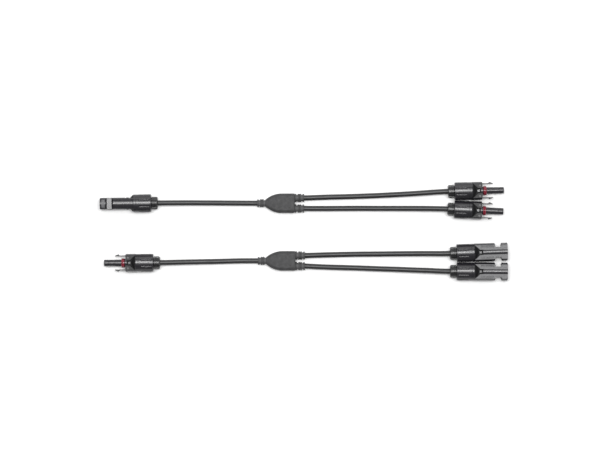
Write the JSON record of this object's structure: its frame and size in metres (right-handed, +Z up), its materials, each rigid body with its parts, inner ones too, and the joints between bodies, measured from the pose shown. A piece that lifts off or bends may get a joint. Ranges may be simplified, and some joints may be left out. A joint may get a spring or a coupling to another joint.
{
  "type": "solar cable connector",
  "caption": "Matched Y-branch solar cable leads with latching plugs and sockets, screwed cap nuts, red sealing rings and moulded splitters.",
  "frame": {"origin": "on the surface the leads lie on, under the middle of the box round both leads without their cables", "axes": "+X along the leads, from the single trunk ends to the branch ends; +Y from lead B to lead A; +Z up"},
  "size_m": [0.4481, 0.1088, 0.0199],
  "materials": {
    "housing_plastic": "black moulded plastic, satin grip and textured wings",
    "nut_plastic": "black moulded plastic, ribbed",
    "latch_plastic": "black springy plastic",
    "splitter_moulding": "charcoal soft moulding, fine matte grain",
    "cable_sheath": "black matte cable sheath",
    "seal_red": "red silicone",
    "gland_rubber": "grey rubber",
    "claw_plastic": "natural plastic",
    "tinned_copper": "tin plated copper, turned",
    "spring_steel": "spring steel",
    "bare_copper": "bare copper, crimped"
  },
  "bodies": {
    "a_lead": {"a_splitter_overmould": "splitter_moulding", "a_splitter_splice": "bare_copper", "a_trunk_cable_splitter_end": "cable_sheath", "a_upper_cable_splitter_end": "cable_sheath", "a_lower_cable_splitter_end": "cable_sheath"},
    "b_lead": {"b_splitter_overmould": "splitter_moulding", "b_splitter_splice": "bare_copper", "b_trunk_cable_splitter_end": "cable_sheath", "b_upper_cable_splitter_end": "cable_sheath", "b_lower_cable_splitter_end": "cable_sheath"},
    "a_socket": {"a_socket_housing": "housing_plastic", "a_socket_cable_seal": "gland_rubber", "a_socket_pin_contact": "tinned_copper", "a_trunk_cable_socket_end": "cable_sheath"},
    "a_socket_claw": {"a_socket_clamp_claw": "claw_plastic"},
    "a_socket_nut": {"a_socket_cap_nut": "nut_plastic"},
    "a_upper_plug": {"a_upper_plug_housing": "housing_plastic", "a_upper_plug_cable_seal": "gland_rubber", "a_upper_plug_socket_contact": "tinned_copper", "a_upper_plug_contact_spring": "spring_steel", "a_upper_plug_seal_ring": "seal_red", "a_upper_cable_plug_end": "cable_sheath"},
    "a_upper_plug_claw": {"a_upper_plug_clamp_claw": "claw_plastic"},
    "a_upper_plug_nut": {"a_upper_plug_cap_nut": "nut_plastic"},
    "a_upper_plug_latch_left": {"a_upper_plug_latch_arm_left": "latch_plastic"},
    "a_upper_plug_latch_right": {"a_upper_plug_latch_arm_right": "latch_plastic"},
    "a_lower_plug": {"a_lower_plug_housing": "housing_plastic", "a_lower_plug_cable_seal": "gland_rubber", "a_lower_plug_socket_contact": "tinned_copper", "a_lower_plug_contact_spring": "spring_steel", "a_lower_plug_seal_ring": "seal_red", "a_lower_cable_plug_end": "cable_sheath"},
    "a_lower_plug_claw": {"a_lower_plug_clamp_claw": "claw_plastic"},
    "a_lower_plug_nut": {"a_lower_plug_cap_nut": "nut_plastic"},
    "a_lower_plug_latch_left": {"a_lower_plug_latch_arm_left": "latch_plastic"},
    "a_lower_plug_latch_right": {"a_lower_plug_latch_arm_right": "latch_plastic"},
    "b_plug": {"b_plug_housing": "housing_plastic", "b_plug_cable_seal": "gland_rubber", "b_plug_socket_contact": "tinned_copper", "b_plug_contact_spring": "spring_steel", "b_plug_seal_ring": "seal_red", "b_trunk_cable_plug_end": "cable_sheath"},
    "b_plug_claw": {"b_plug_clamp_claw": "claw_plastic"},
    "b_plug_nut": {"b_plug_cap_nut": "nut_plastic"},
    "b_plug_latch_left": {"b_plug_latch_arm_left": "latch_plastic"},
    "b_plug_latch_right": {"b_plug_latch_arm_right": "latch_plastic"},
    "b_upper_socket": {"b_upper_socket_housing": "housing_plastic", "b_upper_socket_cable_seal": "gland_rubber", "b_upper_socket_pin_contact": "tinned_copper", "b_upper_cable_socket_end": "cable_sheath"},
    "b_upper_socket_claw": {"b_upper_socket_clamp_claw": "claw_plastic"},
    "b_upper_socket_nut": {"b_upper_socket_cap_nut": "nut_plastic"},
    "b_lower_socket": {"b_lower_socket_housing": "housing_plastic", "b_lower_socket_cable_seal": "gland_rubber", "b_lower_socket_pin_contact": "tinned_copper", "b_lower_cable_socket_end": "cable_sheath"},
    "b_lower_socket_claw": {"b_lower_socket_clamp_claw": "claw_plastic"},
    "b_lower_socket_nut": {"b_lower_socket_cap_nut": "nut_plastic"}
  },
  "joints": [
    {"name": "b_lead_lay_aside", "type": "slide", "parent": "a_lead", "child": "b_lead", "axis": [0, -1, 0], "range_m": [0, 0.05]},
    {"name": "a_socket_cable_bend", "type": "hinge", "parent": "a_lead", "child": "a_socket", "pos_m": [-0.106, 0.0314, 0.0075], "axis": [0, 0, 1], "range_deg": [-20, 10]},
    {"name": "a_socket_claw_slide", "type": "slide", "parent": "a_socket", "child": "a_socket_claw", "axis": [0.9999, 0.014, 0], "range_m": [0, 0.003]},
    {"name": "a_socket_nut_turn", "type": "hinge", "parent": "a_socket_claw", "child": "a_socket_nut", "pos_m": [-0.1639, 0.03124, 0.00995], "axis": [0.9999, 0.014, 0], "range_deg": [0, 540]},
    {"name": "a_upper_plug_cable_bend", "type": "hinge", "parent": "a_lead", "child": "a_upper_plug", "pos_m": [0.08, 0.03945, 0.0064], "axis": [0, 0, 1], "range_deg": [0, 20]},
    {"name": "a_upper_plug_claw_slide", "type": "slide", "parent": "a_upper_plug", "child": "a_upper_plug_claw", "axis": [-0.9998, -0.0209, 0], "range_m": [0, 0.003]},
    {"name": "a_upper_plug_nut_turn", "type": "hinge", "parent": "a_upper_plug_claw", "child": "a_upper_plug_nut", "pos_m": [0.1626, 0.04408, 0.00975], "axis": [-0.9998, -0.0209, 0], "range_deg": [0, 540]},
    {"name": "a_upper_plug_latch_left_flex", "type": "hinge", "parent": "a_upper_plug", "child": "a_upper_plug_latch_left", "pos_m": [0.18963, 0.05235, 0.00975], "axis": [0, 0, 1], "range_deg": [-4, 0], "stiffness_Nm_per_rad": 0.05},
    {"name": "a_upper_plug_latch_right_flex", "type": "hinge", "parent": "a_upper_plug", "child": "a_upper_plug_latch_right", "pos_m": [0.18995, 0.03696, 0.00975], "axis": [0, 0, 1], "range_deg": [0, 4], "stiffness_Nm_per_rad": 0.05},
    {"name": "a_lower_plug_cable_bend", "type": "hinge", "parent": "a_lead", "child": "a_lower_plug", "pos_m": [0.08, 0.0253, 0.0064], "axis": [0, 0, 1], "range_deg": [-5, 0]},
    {"name": "a_lower_plug_claw_slide", "type": "slide", "parent": "a_lower_plug", "child": "a_lower_plug_claw", "axis": [-0.999, 0.0436, 0], "range_m": [0, 0.003]},
    {"name": "a_lower_plug_nut_turn", "type": "hinge", "parent": "a_lower_plug_claw", "child": "a_lower_plug_nut", "pos_m": [0.1621, 0.02453, 0.00975], "axis": [-0.999, 0.0436, 0], "range_deg": [0, 540]},
    {"name": "a_lower_plug_latch_left_flex", "type": "hinge", "parent": "a_lower_plug", "child": "a_lower_plug_latch_left", "pos_m": [0.18961, 0.03103, 0.00975], "axis": [0, 0, 1], "range_deg": [-4, 0], "stiffness_Nm_per_rad": 0.05},
    {"name": "a_lower_plug_latch_right_flex", "type": "hinge", "parent": "a_lower_plug", "child": "a_lower_plug_latch_right", "pos_m": [0.18893, 0.01565, 0.00975], "axis": [0, 0, 1], "range_deg": [0, 4], "stiffness_Nm_per_rad": 0.05},
    {"name": "b_plug_cable_bend", "type": "hinge", "parent": "b_lead", "child": "b_plug", "pos_m": [-0.104, -0.0332, 0.0073], "axis": [0, 0, 1], "range_deg": [-10, 20]},
    {"name": "b_plug_claw_slide", "type": "slide", "parent": "b_plug", "child": "b_plug_claw", "axis": [1, 0.007, 0], "range_m": [0, 0.003]},
    {"name": "b_plug_nut_turn", "type": "hinge", "parent": "b_plug_claw", "child": "b_plug_nut", "pos_m": [-0.1615, -0.03433, 0.00975], "axis": [1, 0.007, 0], "range_deg": [0, 540]},
    {"name": "b_plug_latch_left_flex", "type": "hinge", "parent": "b_plug", "child": "b_plug_latch_left", "pos_m": [-0.18865, -0.04222, 0.00975], "axis": [0, 0, 1], "range_deg": [-4, 0], "stiffness_Nm_per_rad": 0.05},
    {"name": "b_plug_latch_right_flex", "type": "hinge", "parent": "b_plug", "child": "b_plug_latch_right", "pos_m": [-0.18875, -0.02682, 0.00975], "axis": [0, 0, 1], "range_deg": [0, 4], "stiffness_Nm_per_rad": 0.05},
    {"name": "b_upper_socket_cable_bend", "type": "hinge", "parent": "b_lead", "child": "b_upper_socket", "pos_m": [0.081, -0.0248, 0.0064], "axis": [0, 0, 1], "range_deg": [0, 5]},
    {"name": "b_upper_socket_claw_slide", "type": "slide", "parent": "b_upper_socket", "child": "b_upper_socket_claw", "axis": [-0.9995, -0.0332, 0], "range_m": [0, 0.003]},
    {"name": "b_upper_socket_nut_turn", "type": "hinge", "parent": "b_upper_socket_claw", "child": "b_upper_socket_nut", "pos_m": [0.1648, -0.02397, 0.00975], "axis": [-0.9995, -0.0332, 0], "range_deg": [0, 540]},
    {"name": "b_lower_socket_cable_bend", "type": "hinge", "parent": "b_lead", "child": "b_lower_socket", "pos_m": [0.081, -0.04105, 0.0064], "axis": [0, 0, 1], "range_deg": [-20, 0]},
    {"name": "b_lower_socket_claw_slide", "type": "slide", "parent": "b_lower_socket", "child": "b_lower_socket_claw", "axis": [-1, 0.0052, 0], "range_m": [0, 0.003]},
    {"name": "b_lower_socket_nut_turn", "type": "hinge", "parent": "b_lower_socket_claw", "child": "b_lower_socket_nut", "pos_m": [0.1649, -0.04382, 0.00975], "axis": [-1, 0.0052, 0], "range_deg": [0, 540]}
  ],
  "couplings": [
    {"joint": "a_socket_nut_turn", "follows": "a_socket_claw_slide", "rad_per_m": 3141.6},
    {"joint": "a_upper_plug_nut_turn", "follows": "a_upper_plug_claw_slide", "rad_per_m": 3141.6},
    {"joint": "a_lower_plug_nut_turn", "follows": "a_lower_plug_claw_slide", "rad_per_m": 3141.6},
    {"joint": "b_plug_nut_turn", "follows": "b_plug_claw_slide", "rad_per_m": 3141.6},
    {"joint": "b_upper_socket_nut_turn", "follows": "b_upper_socket_claw_slide", "rad_per_m": 3141.6},
    {"joint": "b_lower_socket_nut_turn", "follows": "b_lower_socket_claw_slide", "rad_per_m": 3141.6}
  ]
}
